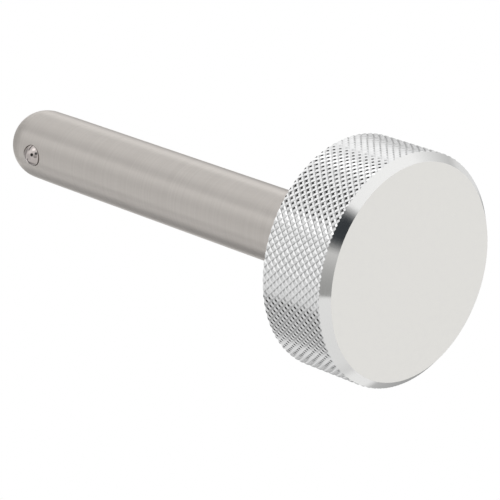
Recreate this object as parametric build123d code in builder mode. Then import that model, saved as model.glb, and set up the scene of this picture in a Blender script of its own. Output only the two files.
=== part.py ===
from build123d import *
from math import cos, pi, sin, sqrt
import os

# Weight stack pin: a knurled aluminium knob on a round-nosed steel shaft, with a sprung ball near the nose.
# Millimetres. The pin stands on its knob: origin at the centre of the knob's face, +Z along the shaft.
# The ball looks towards -Y.

# Knob
knob_diameter = 40.0
knob_thickness = 14.0
face_chamfer = 1.45
diamond_size = 1.43  # of one knurl diamond, across and along
diamond_depth = 0.17

# Shaft
shaft_diameter = 12.7
shaft_length = 83.0  # from the back of the knob to the tip of the nose
tip_lead = 0.05  # how much smaller the radius has become where the nose begins
seat_depth = 1.0  # of the shaft's chamfered end, sunk in the back of the knob at 45 degrees
stud_diameter = 8.0
stud_length = 9.0
stud_chamfer = 0.6
socket_clearance = 0.05  # in radius, filled with bonding compound
stud_end_gap = 0.5

# Ball and its bore
ball_diameter = 4.0
ball_from_tip = 9.22
ball_stands_out = 1.05
bore_clearance = 0.06
bore_depth = 10.4
lip_bite = 0.05  # how much smaller in radius the lip is than the ball
lip_clearance = 0.01
flare = 0.25  # funnel outside the lip, at 45 degrees

# Spring
wire_diameter = 0.4
spring_side_clearance = 0.25
spring_end_clearance = 0.01
closed_turns = 0.5  # at each end
active_turns = 3.0
wire_flats = 5

# Places that follow from the sizes
knob_radius = knob_diameter / 2
face_radius = knob_radius - face_chamfer
pit_radius = knob_radius - diamond_depth
shaft_radius = shaft_diameter / 2
stud_radius = stud_diameter / 2
ball_radius = ball_diameter / 2
wire_radius = wire_diameter / 2

tip_z = knob_thickness + shaft_length
nose_radius = shaft_radius - tip_lead
nose_z = tip_z - nose_radius
shoulder_z = knob_thickness - seat_depth
stud_end_z = shoulder_z - stud_length
ball_z = tip_z - ball_from_tip

bore_radius = ball_radius + bore_clearance
lip_radius = ball_radius - lip_bite
flare_radius = lip_radius + flare
lead_z = ball_z - flare_radius - flare  # the shaft is full size up to here

# Depths along the ball's bore, counted inwards from the shaft's full radius
ball_depth = ball_radius - ball_stands_out
lip_depth = ball_depth - sqrt((ball_radius + lip_clearance) ** 2 - lip_radius**2)
coil_radius = bore_radius - spring_side_clearance - wire_radius
ball_to_wire = ball_radius + wire_radius + spring_end_clearance
coil_start = ball_depth + sqrt(ball_to_wire**2 - coil_radius**2)
coil_end = bore_depth - wire_radius - spring_end_clearance

# The ball's bore runs along the local Z of this plane, which points out of the shaft
bore_mouth = Plane(origin=(0, -shaft_radius, ball_z), x_dir=(0, 0, 1), z_dir=(0, -1, 0))
bore_section = Plane(origin=bore_mouth.origin, x_dir=(0, 0, 1), z_dir=(1, 0, 0))

# Knurl grid: peaks and pits take turns round the rim and along it. Rows are counted from the knob's back.
# The chamfer's edge runs midway between two rows, so that it crosses the grooves of both hands in turn.
grid_columns = 2 * round(pi * knob_diameter / diamond_size)
chamfer_edge_z = face_chamfer - diamond_depth / 2
grid_rows = round((knob_thickness - chamfer_edge_z) / (diamond_size / 2) + 0.5)
row_height = (knob_thickness - chamfer_edge_z) / (grid_rows - 0.5)


def on_column(column, radius, height):
    """The place on this grid column at this radius and height."""
    angle = 2 * pi * column / grid_columns
    return Vector(radius * cos(angle), radius * sin(angle), height)


def grid_point(column, row):
    """A corner of the knurl: the peak of a pyramid, or the pit between four of them."""
    is_peak = (column + row) % 2 == 0
    return on_column(column, knob_radius if is_peak else pit_radius, knob_thickness - row_height * row)


def pyramid_flanks(column, row):
    """The two triangles between four corners of the grid. They meet in the valley that joins the two pits."""
    upper, upper_next = grid_point(column, row), grid_point(column + 1, row)
    lower, lower_next = grid_point(column, row + 1), grid_point(column + 1, row + 1)
    if (column + row) % 2 == 0:
        return [upper, lower, upper_next], [upper_next, lower, lower_next]
    return [upper, lower, lower_next], [upper, lower_next, upper_next]


def cut_off(corners, start, normal):
    """What is left of a polygon behind the plane at start, and the places where the plane cuts its edges."""
    left, cuts = [], []
    for here, after in zip(corners, corners[1:] + corners[:1]):
        here_ahead = (here - start).dot(normal)
        after_ahead = (after - start).dot(normal)
        if here_ahead <= 0:
            left.append(here)
        if here_ahead * after_ahead < 0:
            cuts.append(here + (after - here) * (here_ahead / (here_ahead - after_ahead)))
            left.append(cuts[-1])
    return left, cuts


def rim_strip(column):
    """The faces from one grid column to the next: the knurl, and the flat of the chamfer that cuts it off."""
    inner, inner_next = on_column(column, face_radius, 0), on_column(column + 1, face_radius, 0)
    normal = (inner_next - inner).cross(on_column(column, knob_radius, face_chamfer) - inner)
    knurl, toothed_edge = [], []
    for row in range(grid_rows):
        for flank in pyramid_flanks(column, row):
            left, cuts = cut_off(flank, inner, normal)
            if left:
                knurl.append(left)
            for place in cuts:
                if all((place - other).length > 1e-6 for other in toothed_edge):
                    toothed_edge.append(place)
    toothed_edge.sort(key=(inner_next - inner).dot, reverse=True)
    return knurl + [[inner, inner_next] + toothed_edge]


def knurled_disc():
    """The knob's outside: a flat face and back, and a rim of pyramids with the chamfer cut through them."""
    columns = range(grid_columns)
    polygons = [
        [on_column(column, face_radius, 0) for column in columns],
        [grid_point(column, 0) for column in columns],
    ]
    for column in columns:
        polygons += rim_strip(column)
    return Solid(Shell([Face(Wire.make_polygon(corners)) for corners in polygons]))


def coil_depth(turn):
    """How deep the spring's wire lies after this many turns: end turns are closed, the rest are open."""
    closed_pitch = wire_diameter + spring_end_clearance
    closed = closed_turns * closed_pitch
    active_pitch = (coil_end - coil_start - 2 * closed) / active_turns
    total_turns = active_turns + 2 * closed_turns
    if turn < closed_turns:
        return coil_start + closed_pitch * turn
    if turn < closed_turns + active_turns:
        return coil_start + closed + active_pitch * (turn - closed_turns)
    return coil_end - closed_pitch * (total_turns - turn)


# Knob: the knurled disc, with the shaft's socket in its back. The 45 degree chamfer round the face has a flat
# for each column of the knurl, so that every edge where it meets the pyramids is straight.
with BuildPart() as knob:
    add(knurled_disc())
    with BuildSketch(Plane.XZ) as socket_outline:
        with BuildLine():
            socket_floor_z = stud_end_z - stud_end_gap
            socket_radius = shaft_radius + socket_clearance
            Polyline(
                (0, socket_floor_z),
                (stud_radius + socket_clearance, socket_floor_z),
                (stud_radius + socket_clearance, shoulder_z),
                (socket_radius - seat_depth, shoulder_z),
                (socket_radius + seat_depth, knob_thickness + seat_depth),
                (0, knob_thickness + seat_depth),
                close=True,
            )
        make_face()
    revolve(axis=Axis.Z, mode=Mode.SUBTRACT)

# Shaft: stud, chamfered shoulder, long ground shank, slight lead, half-round nose, and the ball's bore
with BuildPart() as shaft:
    with BuildSketch(Plane.XZ) as shaft_outline:
        with BuildLine():
            side = Polyline(
                (0, stud_end_z),
                (stud_radius - stud_chamfer, stud_end_z),
                (stud_radius, stud_end_z + stud_chamfer),
                (stud_radius, shoulder_z),
                (shaft_radius - seat_depth, shoulder_z),
                (shaft_radius, knob_thickness),
                (shaft_radius, lead_z),
                (nose_radius, nose_z),
            )
            nose = CenterArc((0, nose_z), nose_radius, 0, 90)
            Line(nose @ 1, side @ 0)
        make_face()
    revolve(axis=Axis.Z)
    with BuildSketch(bore_section) as bore_outline:
        with BuildLine():
            Polyline(
                (0, -bore_depth),
                (bore_radius, -bore_depth),
                (bore_radius, -lip_depth),
                (lip_radius, -lip_depth),
                (lip_radius, -flare),
                (flare_radius + flare, flare),
                (0, flare),
                close=True,
            )
        make_face()
    revolve(axis=Axis(bore_mouth.origin, bore_mouth.z_dir), mode=Mode.SUBTRACT)

# Ball: held under the staked lip of its bore
with BuildPart() as ball:
    with Locations(bore_mouth.offset(-ball_depth)):
        Sphere(ball_radius)

# Spring: from the ball down to the floor of the bore
with BuildPart() as spring:
    with BuildLine(bore_mouth) as coil:
        points_per_turn = 8
        total_turns = active_turns + 2 * closed_turns
        wire_points = []
        for step in range(round(total_turns * points_per_turn) + 1):
            turn = step / points_per_turn
            angle = 2 * pi * turn
            wire_points.append((coil_radius * cos(angle), coil_radius * sin(angle), -coil_depth(turn)))
        Spline(*wire_points)
    with BuildSketch(Plane(coil.line @ 0, z_dir=coil.line % 0)) as wire_section:
        RegularPolygon(wire_radius, wire_flats)
    sweep(path=coil.wire(), is_frenet=True)

knob.part.label = "knurled_knob"
shaft.part.label = "pin_shaft"
ball.part.label = "detent_ball"
spring.part.label = "detent_spring"

os.makedirs("parts", exist_ok=True)
export_step(knob.part, "parts/knurled_knob.step")
export_step(shaft.part, "parts/pin_shaft.step")
export_step(ball.part, "parts/detent_ball.step")
export_step(spring.part, "parts/detent_spring.step")

print(f"knurl: {grid_columns // 2} diamonds round the rim, {row_height * 2:.3f} along it")
print(f"pin: {tip_z} long, ball at z {ball_z}, lip {lip_depth:.3f} under the shaft's surface")
print(f"spring: {coil_end - coil_start + wire_diameter:.2f} long, {2 * (coil_radius + wire_radius):.2f} wide")
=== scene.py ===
# %% [markdown]
# # Weight stack pin
# A weight stack pin holds the chosen plates of a gym machine. It has a knurled aluminium knob to pull on, a
# round steel shaft with a half-round nose, and a small sprung ball near the nose that keeps it from sliding
# out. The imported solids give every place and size. This lesson makes a finer mesh and a finish for each of
# them.

# %% Load the frame
import bmesh
import bpy
from math import atan2, cos, pi, radians, sin, sqrt
from mathutils import Matrix, Vector


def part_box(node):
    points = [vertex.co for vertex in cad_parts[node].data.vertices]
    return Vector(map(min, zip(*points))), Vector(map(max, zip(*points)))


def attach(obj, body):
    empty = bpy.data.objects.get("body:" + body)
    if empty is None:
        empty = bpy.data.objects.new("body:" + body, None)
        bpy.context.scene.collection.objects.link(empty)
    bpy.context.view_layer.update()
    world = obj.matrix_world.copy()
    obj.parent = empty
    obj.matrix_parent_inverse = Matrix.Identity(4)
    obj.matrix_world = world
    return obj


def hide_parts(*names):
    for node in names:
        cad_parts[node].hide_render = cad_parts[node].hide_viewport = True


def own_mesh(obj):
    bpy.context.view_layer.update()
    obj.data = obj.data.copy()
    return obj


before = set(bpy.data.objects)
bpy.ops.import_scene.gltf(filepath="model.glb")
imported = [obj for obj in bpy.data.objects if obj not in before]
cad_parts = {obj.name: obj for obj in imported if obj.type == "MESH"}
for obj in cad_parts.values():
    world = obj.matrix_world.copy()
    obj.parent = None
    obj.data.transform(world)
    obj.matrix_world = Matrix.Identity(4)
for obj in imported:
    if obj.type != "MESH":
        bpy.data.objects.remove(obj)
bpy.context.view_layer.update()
print("nodes:", sorted(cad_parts))

# %% [markdown]
# The camera comes first, because every look is judged through it. It stands in front of the knob's face and
# a little below it, as if the pin lay on its side. Its long lens keeps the knob and the far nose nearly the
# same scale. Three directions give its turn: to the right, up, and backwards, away from the pin.

# %% Camera
mm = 0.001

camera_data = bpy.data.cameras.new("long_lens")
camera_data.sensor_width = 36.0
camera_data.lens = 212.5
camera = bpy.data.objects.new("camera", camera_data)
bpy.context.scene.collection.objects.link(camera)
bpy.context.scene.camera = camera

camera_place = (166.64 * mm, -332.24 * mm, -302.25 * mm)
view_right = Vector((0.01178, 0.71785, -0.69610))
view_up = Vector((0.93973, 0.22995, 0.25304))
view_back = view_right.cross(view_up)
turn = Matrix((view_right, view_up, view_back)).transposed()
camera.matrix_world = Matrix.Translation(camera_place) @ turn.to_4x4()
print("camera:", round(camera.location.length, 3), "m from the knob's face")

# %% [markdown]
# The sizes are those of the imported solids. The boxes of the solids give the outer ones.

# %% Sizes of the outside
knob_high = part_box("knurled_knob")[1]
shaft_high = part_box("pin_shaft")[1]
knob_radius = knob_high.x
knob_thickness = knob_high.z
shaft_radius = shaft_high.x
tip_z = shaft_high.z
print(f"knob: {2 * knob_radius / mm:.2f} across, {knob_thickness / mm:.2f} thick")
print(f"shaft: {2 * shaft_radius / mm:.2f} across, its tip at {tip_z / mm:.2f}")

# %% [markdown]
# The inner sizes can't be read off a box, so they are written down here, piece by piece.

# %% Sizes of the inside
face_chamfer = 1.45 * mm
knurl_depth = 0.13 * mm  # from the pits to the flat crests
crest_cut = 0.09 * mm  # how much higher the pyramids would be if they were sharp
knurl_columns = 176
knurl_rows = 18

seat_depth = 1.0 * mm
stud_radius = 4.0 * mm
stud_length = 9.0 * mm
stud_chamfer = 0.6 * mm
socket_clearance = 0.05 * mm
stud_end_gap = 0.5 * mm
tip_lead = 0.05 * mm

ball_radius = 2.0 * mm
ball_from_tip = 9.22 * mm
ball_stands_out = 1.05 * mm
bore_radius = 2.06 * mm
bore_depth = 10.4 * mm
lip_radius = 1.95 * mm
lip_clearance = 0.01 * mm
flare = 0.25 * mm

wire_radius = 0.2 * mm
coil_radius = bore_radius - 0.25 * mm - wire_radius
spring_end_clearance = 0.01 * mm
closed_turns = 0.5
active_turns = 3.0
print("knurl:", knurl_columns // 2, "diamonds round the rim")

# %% [markdown]
# Blender's edit tools act on whatever is selected, so each step starts from nothing selected and then picks
# its faces or edges by where they are. These helpers do that picking.

# %% Helpers for edit mode
square_on = 0.9  # a face whose normal has more than this share of a direction looks that way


def choose(piece):
    """Makes this piece the only selected object, and the active one."""
    bpy.ops.object.select_all(action="DESELECT")
    piece.select_set(True)
    bpy.context.view_layer.objects.active = piece


def edit(piece):
    """Opens one piece in edit mode with nothing selected."""
    choose(piece)
    bpy.ops.object.mode_set(mode="EDIT")
    bpy.ops.mesh.select_all(action="DESELECT")


def pick(piece, kind, test):
    """Selects the verts, edges or faces of a piece that pass the test, and returns how many."""
    bpy.ops.mesh.select_all(action="DESELECT")
    bpy.ops.mesh.select_mode(type={"verts": "VERT", "edges": "EDGE", "faces": "FACE"}[kind])
    mesh = bmesh.from_edit_mesh(piece.data)
    picked = [part for part in getattr(mesh, kind) if test(part)]
    for part in picked:
        part.select_set(True)
    bmesh.update_edit_mesh(piece.data)
    return len(picked)


def close_edit():
    bpy.ops.object.mode_set(mode="OBJECT")


def settle(piece):
    """Writes a piece's place, turn and scale into its mesh, which leaves the object at the origin."""
    choose(piece)
    bpy.ops.object.transform_apply(location=True, rotation=True, scale=True)


def smooth_by_angle(piece, degrees):
    choose(piece)
    bpy.ops.object.shade_smooth_by_angle(angle=radians(degrees))


def report(piece):
    piece.data.calc_loop_triangles()
    size = [round(side / mm, 2) for side in piece.dimensions]
    print(f"{piece.name}: {len(piece.data.loop_triangles)} triangles, {size} mm")


# %% [markdown]
# Nearly all of this pin is turned on a lathe. A turned body could be spun from a half outline, but a spin
# leaves doubled points on the axis. Here a cylinder's top face is extruded up and scaled, from one point of
# the outline to the next, which always gives a closed body. Bores are turned bodies too, taken away from a
# piece.

# %% Helpers for turned bodies
def turned(name, outline, sides=192):
    """A body turned about Z, through the (radius, z) points of an outline."""
    (radius, z), (next_radius, next_z) = outline[:2]
    bpy.ops.object.select_all(action="DESELECT")
    middle = (0, 0, (z + next_z) / 2)
    bpy.ops.mesh.primitive_cylinder_add(vertices=sides, radius=radius, depth=next_z - z, location=middle)
    piece = bpy.context.object
    piece.name = name
    settle(piece)
    edit(piece)
    pick(piece, "faces", lambda face: face.normal.z > square_on)
    for step, (next_radius, next_z) in enumerate(outline[1:]):
        if step > 0:
            bpy.ops.mesh.extrude_region_move(TRANSFORM_OT_translate={"value": (0, 0, next_z - z)})
        if next_radius == 0:
            bpy.ops.mesh.merge(type="CENTER")
            break
        scale = next_radius / radius
        bpy.ops.transform.resize(value=(scale, scale, 1), center_override=(0, 0, next_z))
        radius, z = next_radius, next_z
    bpy.ops.mesh.select_all(action="SELECT")
    bpy.ops.mesh.normals_make_consistent(inside=False)
    close_edit()
    return piece


def cut(piece, cutter, operation="DIFFERENCE"):
    """Cuts a piece with a second mesh, which is used up."""
    choose(piece)
    boolean = piece.modifiers.new("cut", "BOOLEAN")
    boolean.object = cutter
    boolean.operation = operation
    boolean.solver = "EXACT"
    bpy.ops.object.modifier_apply(modifier=boolean.name)
    bpy.data.objects.remove(cutter)


# %% [markdown]
# ## Knob
# The real knob is turned from aluminium bar. Two knurling wheels press left and right grooves into its rim,
# and what stands between them is a field of small four-sided pyramids with flat tops, because the grooves
# are not pressed in so deep that they meet. The blank here starts as a cylinder with one side for every
# half diamond. Its rings are cut by subdividing the upright edges, and every second grid point is sunk to
# make a pit. The other points are sharp peaks that stand too high, and they are cut flat further down. The
# rows are counted from the knob's back, and are spaced so that the edge of the chamfer runs midway between
# two of them.

# %% Knurled blank
row_height = (knob_thickness - face_chamfer + knurl_depth / 2) / (knurl_rows - 0.5)
front_z = knob_thickness - knurl_rows * row_height
pit_radius = knob_radius - knurl_depth
peak_radius = knob_radius + crest_cut

bpy.ops.object.select_all(action="DESELECT")
bpy.ops.mesh.primitive_cylinder_add(
    vertices=knurl_columns,
    radius=peak_radius,
    depth=knurl_rows * row_height,
    location=(0, 0, knob_thickness - knurl_rows * row_height / 2),
)
knob = bpy.context.object
knob.name = "turned_knurled_knob"
settle(knob)
edit(knob)
pick(knob, "edges", lambda edge: abs(edge.verts[0].co.z - edge.verts[1].co.z) > row_height / 2)
bpy.ops.mesh.subdivide(number_cuts=knurl_rows - 1)


def is_pit(vert):
    column = round(atan2(vert.co.y, vert.co.x) / (2 * pi / knurl_columns))
    row = round((knob_thickness - vert.co.z) / row_height)
    return (column + row) % 2 == 1


pits = pick(knob, "verts", is_pit)
sink = pit_radius / peak_radius
bpy.ops.transform.resize(value=(sink, sink, 1), center_override=(0, 0, 0))
close_edit()
print("knurl pits:", pits)

# %% [markdown]
# Each square of the grid is now bent, and splitting it along its shorter diagonal, from pit to pit, gives
# the two flanks that meet in a groove. The front end is drawn out past the knob's face, so that the face is
# cut clean.

# %% Flanks of the pyramids
overrun = 0.5 * mm

edit(knob)
pick(knob, "faces", lambda face: abs(face.normal.z) < square_on)
bpy.ops.mesh.quads_convert_to_tris(quad_method="SHORTEST_DIAGONAL")
pick(knob, "faces", lambda face: face.normal.z < -square_on)
bpy.ops.mesh.extrude_region_move(TRANSFORM_OT_translate={"value": (0, 0, -front_z - overrun)})
close_edit()
report(knob)

# %% [markdown]
# The lathe tool then cuts the face, the chamfer and the tops of the pyramids, which leaves the chamfer's
# outer edge toothed. Here the knob is what the knurled blank and a plain turned blank have in common. The
# plain blank's front corner has a tiny round, because a real edge is broken.

# %% Face, chamfer and crests
beyond = 3.0 * mm  # how far a cutter reaches past what it cuts
face_radius = knob_radius - face_chamfer
edge_round = 0.06 * mm
round_middle = 0.293 * edge_round  # how far the middle of the round lies from the sharp corner's two planes

plain_blank = turned(
    "plain_blank",
    [
        (face_radius - edge_round, 0),
        (face_radius + round_middle, round_middle),
        (face_radius + edge_round, edge_round),
        (knob_radius, face_chamfer),
        (knob_radius, knob_thickness + beyond),
    ],
    sides=2 * knurl_columns,
)
cut(knob, plain_blank, "INTERSECT")
report(knob)

# %% [markdown]
# The shaft sits in a socket in the knob's back: a narrow hole for its stud, and a wider seat at 45 degrees
# for its chamfered shoulder. Both are one turned body that is taken away from the knob.

# %% Socket
shoulder_z = knob_thickness - seat_depth
stud_end_z = shoulder_z - stud_length
socket_radius = shaft_radius + socket_clearance
socket = turned(
    "socket",
    [
        (stud_radius + socket_clearance, stud_end_z - stud_end_gap),
        (stud_radius + socket_clearance, shoulder_z),
        (socket_radius - seat_depth, shoulder_z),
        (socket_radius + beyond, knob_thickness + beyond),
        (socket_radius + beyond, knob_thickness + 2 * beyond),
    ],
)
cut(knob, socket)
smooth_by_angle(knob, 12)
report(knob)

# %% [markdown]
# ## Shaft
# The shaft is one steel bar: a stud that sits in the knob, a shoulder with a 45 degree seat, the long
# ground shank, a slight lead, and the half-round nose. It is made as it is turned, outline point by outline
# point.

# %% Shaft
ball_z = tip_z - ball_from_tip
flare_radius = lip_radius + flare
lead_z = ball_z - flare_radius - flare
nose_radius = shaft_radius - tip_lead
nose_z = tip_z - nose_radius
nose_rings = 32

nose_outline = []
for ring in range(nose_rings):
    angle = pi / 2 * ring / nose_rings
    nose_outline.append((nose_radius * cos(angle), nose_z + nose_radius * sin(angle)))

shaft = turned(
    "ground_shaft",
    [
        (stud_radius - stud_chamfer, stud_end_z),
        (stud_radius, stud_end_z + stud_chamfer),
        (stud_radius, shoulder_z),
        (shaft_radius - seat_depth, shoulder_z),
        (shaft_radius, knob_thickness),
        (shaft_radius, lead_z),
        *nose_outline,
        (0, tip_z),
    ],
)
report(shaft)

# %% [markdown]
# The ball sits in a cross hole whose mouth was staked, which is to say pressed in a little, so that the
# ball can't fall out. The hole is turned as a plug of its own, laid on its side and taken away from the
# shaft.

# %% Bore for the ball
ball_depth = ball_radius - ball_stands_out
lip_depth = ball_depth - sqrt((ball_radius + lip_clearance) ** 2 - lip_radius**2)
bore = turned(
    "bore",
    [
        (bore_radius, -bore_depth),
        (bore_radius, -lip_depth),
        (lip_radius, -lip_depth),
        (lip_radius, -flare),
        (flare_radius + flare, flare),
        (flare_radius + flare, beyond),
    ],
    sides=96,
)
bore.rotation_euler = (pi / 2, 0, 0)
bore.location = (0, -shaft_radius, ball_z)
settle(bore)
cut(shaft, bore)
smooth_by_angle(shaft, 25)
report(shaft)

# %% [markdown]
# ## Ball and spring
# A bearing ball is the truest sphere there is. A sphere of rings has two pinched poles that show as a star
# in a polished surface, so this ball is a cube, subdivided and blown up round, whose squares are nearly
# even all over.

# %% Ball
bpy.ops.object.select_all(action="DESELECT")
bpy.ops.mesh.primitive_cube_add(size=2 * ball_radius, location=(0, 0, 0))
ball = bpy.context.object
ball.name = "polished_ball"
edit(ball)
bpy.ops.mesh.select_all(action="SELECT")
bpy.ops.mesh.subdivide(number_cuts=31)
bpy.ops.transform.tosphere(value=1.0)
close_edit()
true_size = ball_radius / ball.data.vertices[0].co.length
ball.scale = (true_size, true_size, true_size)
ball.location = (0, -shaft_radius + ball_depth, ball_z)
settle(ball)
smooth_by_angle(ball, 40)
report(ball)

# %% [markdown]
# The spring behind the ball is wound from round wire. Half a turn at each end lies closed, and three open
# turns do the work. How deep the wire lies after each part of a turn follows from the room that it has.

# %% Turns of the spring
ball_to_wire = ball_radius + wire_radius + spring_end_clearance
coil_start = ball_depth + sqrt(ball_to_wire**2 - coil_radius**2)
coil_end = bore_depth - wire_radius - spring_end_clearance
closed_pitch = 2 * wire_radius + spring_end_clearance
closed_length = closed_turns * closed_pitch
active_pitch = (coil_end - coil_start - 2 * closed_length) / active_turns
all_turns = active_turns + 2 * closed_turns


def coil_depth(turns):
    """How deep under the shaft's surface the wire lies after so many turns."""
    if turns < closed_turns:
        return coil_start + closed_pitch * turns
    if turns < closed_turns + active_turns:
        return coil_start + closed_length + active_pitch * (turns - closed_turns)
    return coil_end - closed_pitch * (all_turns - turns)


print(f"spring: {active_pitch / mm:.2f} from one open turn to the next")

# %% [markdown]
# Now the wire is wound. A smooth curve follows the turns, and its round bevel is the wire. Sixteen points to
# a turn are enough, because the curve rounds the corners between them.

# %% Wire of the spring
points_per_turn = 16

wire = bpy.data.curves.new("coil_wire", "CURVE")
wire.dimensions = "3D"
wire.bevel_depth = wire_radius
wire.bevel_resolution = 3
wire.resolution_u = 4
wire.use_fill_caps = True
run = wire.splines.new("NURBS")
run.points.add(round(all_turns * points_per_turn))
for index, point in enumerate(run.points):
    turns = index / points_per_turn
    across = coil_radius * sin(2 * pi * turns)
    upwards = coil_radius * cos(2 * pi * turns)
    point.co = (across, -shaft_radius + coil_depth(turns), ball_z + upwards, 1)
run.order_u = 4
run.use_endpoint_u = True
spring = bpy.data.objects.new("coil_spring", wire)
bpy.context.scene.collection.objects.link(spring)
choose(spring)
bpy.ops.object.convert(target="MESH")
spring = bpy.context.object
smooth_by_angle(spring, 50)
report(spring)

# %% [markdown]
# ## Finishes
# Every finish is a bare metal, so its colour is what it reflects. What tells the metals apart is their tint
# and how their surface was made: blasted, turned, pressed, ground or polished. Each pattern is laid out in
# the object's own coordinates, so that it stays on the metal from every side.

# %% Helpers for finishes
mix_a, mix_b, mix_result = 6, 7, 2  # where a Mix node keeps its colours


def new_metal(name, colour, roughness):
    """A bare metal."""
    material = bpy.data.materials.new(name)
    material.use_nodes = True
    shader = material.node_tree.nodes["Principled BSDF"]
    shader.inputs["Base Color"].default_value = (*colour, 1)
    shader.inputs["Metallic"].default_value = 1.0
    shader.inputs["Roughness"].default_value = roughness
    return material


def node(material, kind, settings=None, **inputs):
    """Adds a node. An input is a value or another node's output, under the input's name or _number."""
    made = material.node_tree.nodes.new(kind)
    for setting, value in (settings or {}).items():
        setattr(made, setting, value)
    for name, value in inputs.items():
        socket = made.inputs[int(name[1:])] if name[1:].isdigit() else made.inputs[name]
        if isinstance(value, bpy.types.NodeSocket):
            material.node_tree.links.new(value, socket)
        else:
            socket.default_value = value
    return made


def feed(material, output, name):
    """Links a node's output to an input of the material's shader."""
    shader = material.node_tree.nodes["Principled BSDF"]
    material.node_tree.links.new(output, shader.inputs[name])


# %% [markdown]
# A pattern is noise from 0 to 1. Stretching it makes grain or hair lines, and it can drive the tint, the
# roughness or a bump. The middle of the noise, where most of it lies, is spread over the whole of the
# wanted range.

# %% Patterns
noise_low, noise_high = 0.3, 0.7


def grain(material, stretch):
    """Noise on object coordinates, with so many grains to the metre along each axis."""
    place = node(material, "ShaderNodeTexCoord").outputs["Object"]
    spread = node(material, "ShaderNodeMapping", Vector=place, Scale=stretch).outputs["Vector"]
    return node(material, "ShaderNodeTexNoise", Vector=spread, Scale=1.0, Detail=3.0).outputs["Fac"]


def between(material, fac, low, high):
    """Spreads a 0 to 1 pattern over low to high."""
    spread = node(material, "ShaderNodeMapRange", {"clamp": True}, Value=fac)
    for name, value in {"From Min": noise_low, "From Max": noise_high, "To Min": low, "To Max": high}.items():
        spread.inputs[name].default_value = value
    return spread.outputs["Result"]


def tint(material, fac, dark, light):
    """Colours a pattern between two colours."""
    blend = node(material, "ShaderNodeMix", {"data_type": "RGBA"}, Factor=between(material, fac, 0.0, 1.0))
    blend.inputs[mix_a].default_value = (*dark, 1)
    blend.inputs[mix_b].default_value = (*light, 1)
    feed(material, blend.outputs[mix_result], "Base Color")


def rough(material, fac, low, high):
    feed(material, between(material, fac, low, high), "Roughness")


def bump(material, fac, height):
    """Raises a pattern by this height in metres."""
    raised = node(material, "ShaderNodeBump", Height=fac, Strength=1.0, Distance=height)
    feed(material, raised.outputs["Normal"], "Normal")


def spin_light(material, amount):
    """Spreads reflections across marks that run round the axis, as turned and ground metal does."""
    shader = material.node_tree.nodes["Principled BSDF"]
    shader.inputs["Anisotropic"].default_value = amount
    shader.inputs["Anisotropic Rotation"].default_value = 0.25
    tangent = node(material, "ShaderNodeTangent", {"direction_type": "RADIAL", "axis": "Z"})
    feed(material, tangent.outputs["Tangent"], "Tangent")


# %% [markdown]
# The face was blasted with fine beads and clear anodised: an even, slightly warm satin with a very fine
# grain.

# %% Satin face
satin = new_metal("blasted_aluminium", (0.76, 0.745, 0.725), 0.42)
tint(satin, grain(satin, (900, 900, 900)), (0.79, 0.78, 0.75), (0.8, 0.79, 0.765))
rough(satin, grain(satin, (900, 900, 900)), 0.38, 0.46)
bump(satin, grain(satin, (7000, 7000, 7000)), 0.004 * mm)

# %% [markdown]
# The chamfer was cut last, with a polished tool, and is nearly a mirror. Faint rings stay from the tool's
# feed.

# %% Bright chamfer
bright = new_metal("bright_cut_aluminium", (0.9, 0.9, 0.89), 0.09)
rough(bright, grain(bright, (150, 150, 4000)), 0.06, 0.12)
bump(bright, grain(bright, (60, 60, 9000)), 0.0008 * mm)

# %% [markdown]
# The knob's back and its socket were turned with a plain tool. It leaves rings round the axis, and light
# spreads across them. A ring is where the distance from the axis is the same, so the noise runs along that
# distance.

# %% Turned back
faced = new_metal("turned_aluminium", (0.8, 0.795, 0.785), 0.22)
place = node(faced, "ShaderNodeTexCoord").outputs["Object"]
without_z = {"operation": "MULTIPLY"}
length = {"operation": "LENGTH"}
one_line = {"noise_dimensions": "1D"}
flat = node(faced, "ShaderNodeVectorMath", without_z, _0=place, _1=(1, 1, 0)).outputs["Vector"]
from_axis = node(faced, "ShaderNodeVectorMath", length, _0=flat).outputs["Value"]
rings = node(faced, "ShaderNodeTexNoise", one_line, W=from_axis, Scale=5000.0, Detail=2.0).outputs["Fac"]
tint(faced, rings, (0.74, 0.735, 0.725), (0.82, 0.815, 0.805))
rough(faced, rings, 0.16, 0.3)
spin_light(faced, 0.7)

# %% [markdown]
# The knurl was pressed, which leaves each flank burnished, with fine scuffs from the wheels.

# %% Pressed knurl
pressed = new_metal("pressed_aluminium", (0.88, 0.885, 0.885), 0.2)
tint(pressed, grain(pressed, (900, 900, 900)), (0.82, 0.825, 0.825), (0.9, 0.9, 0.9))
rough(pressed, grain(pressed, (2500, 2500, 2500)), 0.02, 0.06)
bump(pressed, grain(pressed, (9000, 9000, 9000)), 0.002 * mm)

# %% [markdown]
# The shaft was turned and then polished with fine cloth as it spun, so its marks are hair lines round the
# bar. They change quickly along the bar and slowly across it, and light spreads along the bar.

# %% Ground shaft
ground = new_metal("ground_steel", (0.6, 0.575, 0.545), 0.3)
tint(ground, grain(ground, (60, 60, 3000)), (0.69, 0.65, 0.612), (0.73, 0.69, 0.652))
rough(ground, grain(ground, (120, 120, 6000)), 0.34, 0.42)
spin_light(ground, 0.8)
bump(ground, grain(ground, (90, 90, 12000)), 0.0005 * mm)

# %% [markdown]
# A bearing ball is lapped to a mirror. Drawn wire is duller, with a fine uneven grain.

# %% Ball and wire
lapped = new_metal("lapped_steel", (0.58, 0.53, 0.51), 0.05)
rough(lapped, grain(lapped, (1500, 1500, 1500)), 0.08, 0.14)
drawn = new_metal("drawn_wire", (0.6, 0.59, 0.57), 0.25)
tint(drawn, grain(drawn, (3000, 3000, 3000)), (0.5, 0.49, 0.47), (0.66, 0.65, 0.63))
rough(drawn, grain(drawn, (5000, 5000, 5000)), 0.18, 0.34)
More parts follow.
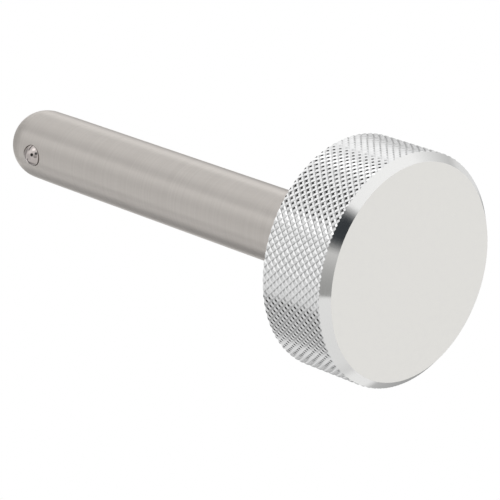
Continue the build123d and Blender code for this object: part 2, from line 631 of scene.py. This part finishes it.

# %% [markdown]
# A punch pressed the mouth of the ball's bore in, and that ring is dull. Its dark colour is painted shade for
# the shaded groove round the ball, and the inside of the bore takes the same painted shade.

# %% Staked ring with painted shade
# The dark colour here is painted shade for the groove round the ball and the inside of its bore. The
# roughness is the staked metal's own.
staked_shade = new_metal("staked_steel_painted_shade", (0.24, 0.215, 0.2), 0.45)
tint(staked_shade, grain(staked_shade, (2500, 2500, 2500)), (0.2, 0.18, 0.17), (0.3, 0.27, 0.25))

# %% [markdown]
# The knob's mesh takes four of these finishes. Its faces are told apart by the way they look: the face and
# the back look along the axis, the chamfer looks at 45 degrees, and the knurl looks outwards. What is left
# is the socket, which lies well inside the knurl.

# %% Finishes on the knob
knob_finishes = [pressed, bright, satin, faced]
for finish in knob_finishes:
    knob.data.materials.append(finish)
chamfer_low, chamfer_high = -0.72, -0.69  # a normal at 45 degrees has -0.707 along Z
inside_knurl = pit_radius - 1 * mm

for face in knob.data.polygons:
    finish = pressed
    if face.normal.z < -square_on:
        finish = satin
    elif face.normal.z > square_on:
        finish = faced
    elif chamfer_low < face.normal.z < chamfer_high and face.center.z < face_chamfer:
        finish = bright
    elif sqrt(face.center.x**2 + face.center.y**2) < inside_knurl:
        finish = faced
    face.material_index = knob_finishes.index(finish)
print("chamfer faces:", sum(face.material_index == 1 for face in knob.data.polygons))

# %% [markdown]
# On the shaft, the ring and the inside of the bore are the faces beside the ball that don't look straight
# outwards. They take the painted shade.

# %% Finishes on the shaft, ball and spring
shaft.data.materials.append(ground)
# The second finish is the painted shade of the staked ring and the bore.
shaft.data.materials.append(staked_shade)
beside_bore = bore_radius + flare
for face in shaft.data.polygons:
    near_bore = abs(face.center.x) < beside_bore and abs(face.center.z - ball_z) < beside_bore
    outwards = Vector((face.center.x, face.center.y, 0)).normalized()
    if near_bore and face.center.y < 0 and face.normal.dot(outwards) < square_on:
        face.material_index = 1
ball.data.materials.append(lapped)
spring.data.materials.append(drawn)
print("staked faces:", sum(face.material_index == 1 for face in shaft.data.polygons))

# %% [markdown]
# The solids of the frame keep their shapes and get the same metals, for anyone who shows them instead.

# %% Finishes on the solids
solid_finish = {"knurled_knob": pressed, "pin_shaft": ground, "detent_ball": lapped, "detent_spring": drawn}
for name, finish in solid_finish.items():
    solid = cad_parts[name]
    if not solid.material_slots:
        solid.data.materials.append(finish)
    for place in solid.material_slots:
        place.material = finish
print("solids with a finish:", len(solid_finish))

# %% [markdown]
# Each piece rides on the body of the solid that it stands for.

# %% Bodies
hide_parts("knurled_knob")
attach(knob, "pin")

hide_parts("pin_shaft")
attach(shaft, "pin")

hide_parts("detent_ball")
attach(ball, "ball")

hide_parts("detent_spring")
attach(spring, "pin")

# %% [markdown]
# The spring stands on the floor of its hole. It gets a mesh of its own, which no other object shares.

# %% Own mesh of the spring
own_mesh(spring)

# %% [markdown]
# ## Studio
# The pin stands on its knob on a pale floor. The camera of the main picture looks up through that floor at
# the knob's face, so the floor is only there for a camera that looks down on it. From below it is clear.

# %% Floor
floor_grey = (0.86, 0.86, 0.86, 1)

bpy.ops.object.select_all(action="DESELECT")
bpy.ops.mesh.primitive_circle_add(vertices=96, radius=1.5, fill_type="NGON", location=(0, 0, -0.05 * mm))
floor = bpy.context.object
floor.name = "floor"
print("floor:", round(floor.dimensions.x, 2), "m across")

# %% [markdown]
# The floor's paint is a mix of plain matt paint and nothing at all. The paint is there for camera rays that
# meet its upper side, and no other ray is held up or coloured by it.

# %% Paint of the floor
floor_paint = bpy.data.materials.new("floor_paint")
floor_paint.use_nodes = True
floor_nodes = floor_paint.node_tree.nodes
floor_nodes.remove(floor_nodes["Principled BSDF"])
paint = node(floor_paint, "ShaderNodeBsdfDiffuse", Color=floor_grey).outputs["BSDF"]
clear = node(floor_paint, "ShaderNodeBsdfTransparent").outputs["BSDF"]
from_below = node(floor_paint, "ShaderNodeNewGeometry").outputs["Backfacing"]
to_camera = node(floor_paint, "ShaderNodeLightPath").outputs["Is Camera Ray"]
minus = {"operation": "SUBTRACT", "use_clamp": True}
from_above = node(floor_paint, "ShaderNodeMath", minus, _0=to_camera, _1=from_below).outputs["Value"]
floor_mix = node(floor_paint, "ShaderNodeMixShader", Fac=from_above, _1=clear, _2=paint).outputs["Shader"]
floor_paint.node_tree.links.new(floor_mix, floor_nodes["Material Output"].inputs["Surface"])
floor.data.materials.append(floor_paint)

# %% [markdown]
# Bright metal is nothing but what it mirrors, so the studio is built for its reflections. The world is a
# round tent of pale cloth. Directions in the tent are given as the camera sees them: a clock angle, with 0
# to the right and 90 up, and the degrees away from the camera.

# %% Helpers for the tent
tent = bpy.data.worlds.new("tent")
bpy.context.scene.world = tent
tent.use_nodes = True
nodes = tent.node_tree.nodes
links = tent.node_tree.links
sight = nodes.new("ShaderNodeTexCoord").outputs["Generated"]


def toward(angle, off_axis):
    """The direction from the pin to a place in the tent."""
    side = cos(radians(angle)) * view_right + sin(radians(angle)) * view_up
    return (cos(radians(off_axis)) * view_back + sin(radians(off_axis)) * side).normalized()


def along(direction):
    """How far the line of sight points along a direction, from -1 to 1."""
    dot = nodes.new("ShaderNodeVectorMath")
    dot.operation = "DOT_PRODUCT"
    links.new(sight, dot.inputs[0])
    dot.inputs[1].default_value = direction
    return dot.outputs["Value"]


def ramp(value, low, high, at_low, at_high, smooth=False):
    """Goes from one number to another while a value goes from low to high."""
    spread = nodes.new("ShaderNodeMapRange")
    spread.interpolation_type = "SMOOTHSTEP" if smooth else "LINEAR"
    links.new(value, spread.inputs["Value"])
    settings = {"From Min": low, "From Max": high, "To Min": at_low, "To Max": at_high}
    for name, number in settings.items():
        spread.inputs[name].default_value = number
    return spread.outputs["Result"]


def combined(operation, first, second):
    """One value from two, by the operation of a Math node."""
    made = nodes.new("ShaderNodeMath")
    made.operation = operation
    links.new(first, made.inputs[0])
    links.new(second, made.inputs[1])
    return made.outputs["Value"]


def mixed(fac, first, second):
    """A colour between two others. Each is a colour or the output of a node."""
    blend = nodes.new("ShaderNodeMix")
    blend.data_type = "RGBA"
    links.new(fac, blend.inputs["Factor"])
    for place, colour in ((mix_a, first), (mix_b, second)):
        if isinstance(colour, bpy.types.NodeSocket):
            links.new(colour, blend.inputs[place])
        else:
            blend.inputs[place].default_value = (*colour, 1)
    return blend.outputs[mix_result]


def grey(level):
    return (level, level, level)


# %% [markdown]
# The cloth is whitest above and greyer below, and it falls off into grey behind the pin, where less light
# reaches.

# %% Cloth of the tent
cloth = mixed(ramp(along(view_up), -1, 1, 0, 1), grey(0.75), grey(0.98))
cloth = mixed(ramp(along(view_back), -0.98, -0.05, 1, 0), cloth, grey(0.34))
floor_shade = ramp(along(toward(270, 38)), cos(radians(30)), 1, 0, 1)
floor_cloth = mixed(floor_shade, (0.585, 0.58, 0.575), (0.33, 0.33, 0.325))
print("cloth nodes:", len(nodes))

# %% [markdown]
# Round patches are painted on the tent, each over the ones before it: panels and lamps, grey walls, a grey
# cloth on the floor with a sharp edge, and the dark opening that the lens looks through. The chamfer
# mirrors that edge and that opening. Each patch has a place, two radii in degrees between which it fades
# out, and a colour.

# %% Patches on the tent
patches = [
    ("right_panel", 345, 97, 20, 50, grey(1.0)),
    ("right_edge", 25, 148, 8, 22, grey(0.75)),
    ("low_right", 286, 118, 6, 16, grey(0.85)),
    ("low_back", 228, 152, 12, 24, grey(0.8)),
    ("back_top", 98, 124, 14, 30, grey(1.06)),
    ("left_wall", 200, 80, 14, 32, grey(0.69)),
    ("left_lamp", 148, 56, 12, 22, grey(1.05)),
    ("left_grey", 160, 114, 14, 24, grey(0.4)),
    ("low_wall", 215, 119, 12, 24, grey(1.0)),
    ("left_low_grey", 191, 130, 8, 17, grey(0.36)),
    ("low_grey", 244, 122, 12, 24, grey(0.36)),
    ("upper_grey", 134, 90, 6, 16, grey(0.6)),
    ("ball_light", 104, 54, 10, 19, grey(1.6)),
    ("ball_dark", 187, 34, 12, 20, grey(0.02)),
    ("floor_cloth", 285, 18, 21, 22, floor_cloth),
    ("lens_opening", 36, 14.5, 5, 19, (0.035, 0.04, 0.045)),
]
for name, angle, off_axis, inner, outer, colour in patches:
    from_middle = along(toward(angle, off_axis))
    patch = ramp(from_middle, cos(radians(outer)), cos(radians(inner)), 0, 1, smooth=True)
    cloth = mixed(patch, cloth, colour)
print("patches:", len(patches))

# %% [markdown]
# The flat crests of the knurl mirror the tent along one circle round the pin, because they all look
# straight out from its axis. Two narrow dark strips lie on that circle, each over part of the way round.
# They turn the crests dark there, while the flanks beside them stay bright, and this gives the knurl its
# sparkle.

# %% Strips on the tent
strip_height = 0.655  # along Z, where the tent has a radius of 1
strip_radius = sqrt(1 - strip_height**2)
strip_core, strip_reach = 0.05, 0.08  # half widths along Z: fully dark, and faded out
strip_fade = 6  # degrees at each end
strips = [
    ("upper_strip", 356, 41, grey(0.05)),
    ("lower_strip", 193, 35, grey(0.04)),
]

height = along((0, 0, 1))
above = ramp(height, strip_height - strip_reach, strip_height - strip_core, 0, 1)
below = ramp(height, strip_height + strip_core, strip_height + strip_reach, 1, 0)
for name, angle, half_length, colour in strips:
    middle = (cos(radians(angle)), sin(radians(angle)), 0)
    faded = strip_radius * cos(radians(half_length + strip_fade))
    full = strip_radius * cos(radians(half_length))
    part_way = ramp(along(middle), faded, full, 0, 1)
    strip = combined("MULTIPLY", combined("MULTIPLY", above, below), part_way)
    cloth = mixed(strip, cloth, colour)
print("strips:", len(strips))

# %% [markdown]
# Metal sees the tent. The camera itself sees a plain white background, also through clear things, and matt
# surfaces get an even light that leaves room for the lamp's shadow.

# %% Background
even_light = grey(0.55)
white = grey(1)

path = nodes.new("ShaderNodeLightPath")
lit = mixed(path.outputs["Is Glossy Ray"], even_light, cloth)
seen = combined("MAXIMUM", path.outputs["Is Camera Ray"], path.outputs["Is Transmission Ray"])
links.new(mixed(seen, lit, white), nodes["Background"].inputs["Color"])
print("world nodes:", len(nodes))

# %% [markdown]
# One broad soft lamp above gives the floor a gentle shadow. The metal doesn't mirror it, since the tent
# already has every light that the metal should show.

# %% Lamp
lamp_data = bpy.data.lights.new("soft_lamp", "AREA")
lamp_data.shape = "DISK"
lamp_data.size = 0.35
lamp_data.energy = 7.0
lamp = bpy.data.objects.new("soft_lamp", lamp_data)
bpy.context.scene.collection.objects.link(lamp)
lamp.location = (-0.35, 0.25, 0.9)
lamp.visible_glossy = False
lamp.rotation_mode = "QUATERNION"
lamp.rotation_quaternion = lamp.location.to_track_quat("Z", "Y")
print("lamp:", round(lamp.location.length, 2), "m from the knob's face")

# %% [markdown]
# The standard view keeps a colour as it is written.

# %% Finish
bpy.context.scene.view_settings.view_transform = "Standard"
